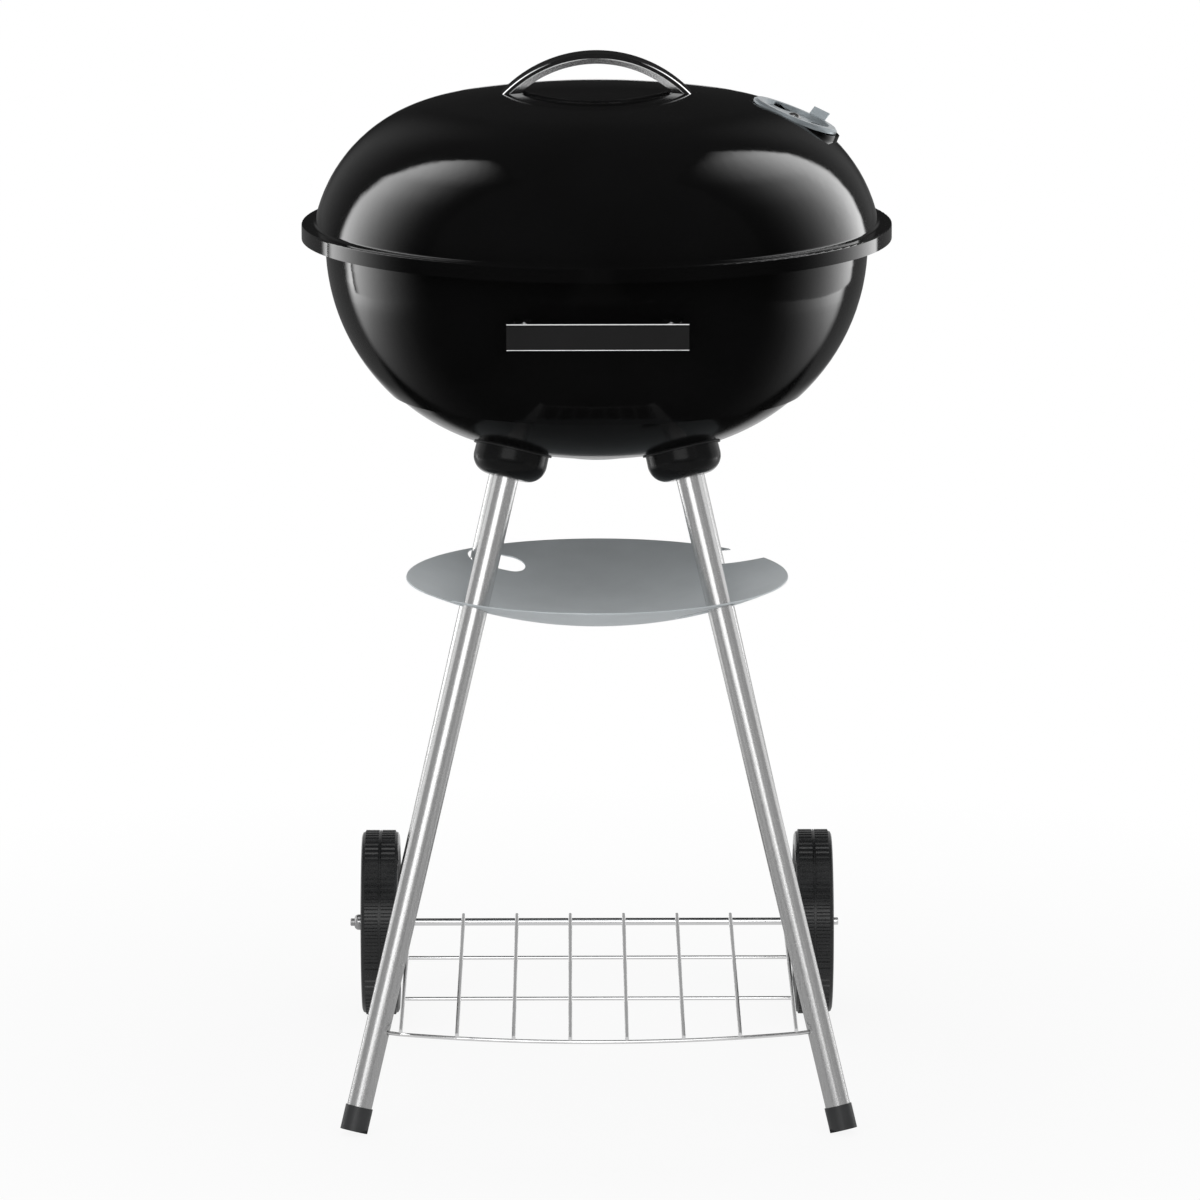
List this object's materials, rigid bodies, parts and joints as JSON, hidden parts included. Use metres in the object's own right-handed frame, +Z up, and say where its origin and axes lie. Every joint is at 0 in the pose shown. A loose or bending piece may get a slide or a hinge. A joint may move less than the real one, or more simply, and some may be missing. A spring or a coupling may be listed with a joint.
{
  "type": "kettle charcoal grill",
  "caption": "Round kettle grill on splayed tube legs with wheels: lift-off domed lid, turning vent dampers, grates, ash catcher and wire shelf.",
  "frame": {"origin": "on the ground under the middle of the whole grill, 12 mm behind the axis of the bowl and lid", "axes": "+Z up, -Y to the front, where the bowl handle is, +Y to the wheels, +X to the side of the lid damper"},
  "size_m": [0.45, 0.496, 0.799],
  "materials": {
    "black_enamel": "gloss porcelain enamel",
    "chrome_handles": "bright plated",
    "plated_wire": "bright plated",
    "leg_tube": "bright drawn tube",
    "socket_plastic": "gloss moulded",
    "damper_aluminium": "satin grey",
    "dish_aluminium": "satin slate grey",
    "wheel_plastic": "moulded black",
    "foot_plastic": "moulded dark grey",
    "gasket_rubber": "matt",
    "steel_fasteners": "zinc plated"
  },
  "bodies": {
    "stand": {"ash_catcher": "dish_aluminium", "axle": "steel_fasteners", "axle_cap_nut": "steel_fasteners", "axle_push_nut": "steel_fasteners", "bottom_damper_rivet": "steel_fasteners", "bowl": "black_enamel", "bowl_handle": "chrome_handles", "bowl_handle_nuts": "steel_fasteners", "bowl_handle_screws": "steel_fasteners", "foot_cap_left": "foot_plastic", "foot_cap_right": "foot_plastic", "grate_brackets": "steel_fasteners", "leg_front_left": "leg_tube", "leg_front_right": "leg_tube", "leg_plugs": "foot_plastic", "leg_rear_left": "leg_tube", "leg_rear_right": "leg_tube", "leg_socket_front_left": "socket_plastic", "leg_socket_front_right": "socket_plastic", "leg_socket_rear_left": "socket_plastic", "leg_socket_rear_right": "socket_plastic", "rear_leg_plugs": "foot_plastic", "socket_gaskets": "gasket_rubber", "socket_screws": "steel_fasteners", "wheel_washers": "steel_fasteners", "wire_shelf": "plated_wire"},
    "lid": {"lid": "black_enamel", "lid_handle": "chrome_handles", "lid_handle_screws": "steel_fasteners", "lid_handle_nuts": "steel_fasteners", "lid_damper_rivet": "steel_fasteners"},
    "lid_damper": {"lid_damper": "damper_aluminium"},
    "bottom_damper": {"bottom_damper": "damper_aluminium"},
    "wheel_left": {"wheel_left": "wheel_plastic"},
    "wheel_right": {"wheel_right": "wheel_plastic"},
    "cooking_grate": {"cooking_grate": "plated_wire"},
    "charcoal_grate": {"charcoal_grate": "plated_wire"}
  },
  "joints": [
    {"name": "lid_lift", "type": "slide", "parent": "stand", "child": "lid", "axis": [0, 0, 1], "range_m": [0, 0.4]},
    {"name": "lid_damper_turn", "type": "hinge", "parent": "lid", "child": "lid_damper", "pos_m": [0.15048, -0.01166, 0.74842], "axis": [0.3734, 0, 0.9277], "range_deg": [0, 60]},
    {"name": "bottom_damper_turn", "type": "hinge", "parent": "stand", "child": "bottom_damper", "pos_m": [0, -0.01166, 0.49], "axis": [0, 0, 1], "range_deg": [0, 60]},
    {"name": "cooking_grate_lift", "type": "slide", "parent": "stand", "child": "cooking_grate", "axis": [0, 0, 1], "range_m": [0, 0.03]},
    {"name": "charcoal_grate_lift", "type": "slide", "parent": "stand", "child": "charcoal_grate", "axis": [0, 0, 1], "range_m": [0, 0.07]},
    {"name": "wheel_left_spin", "type": "hinge", "parent": "stand", "child": "wheel_left", "pos_m": [-0.1726, 0.17434, 0.0737], "axis": [1, 0, 0], "continuous": true},
    {"name": "wheel_right_spin", "type": "hinge", "parent": "stand", "child": "wheel_right", "pos_m": [0.1726, 0.17434, 0.0737], "axis": [1, 0, 0], "continuous": true}
  ]
}
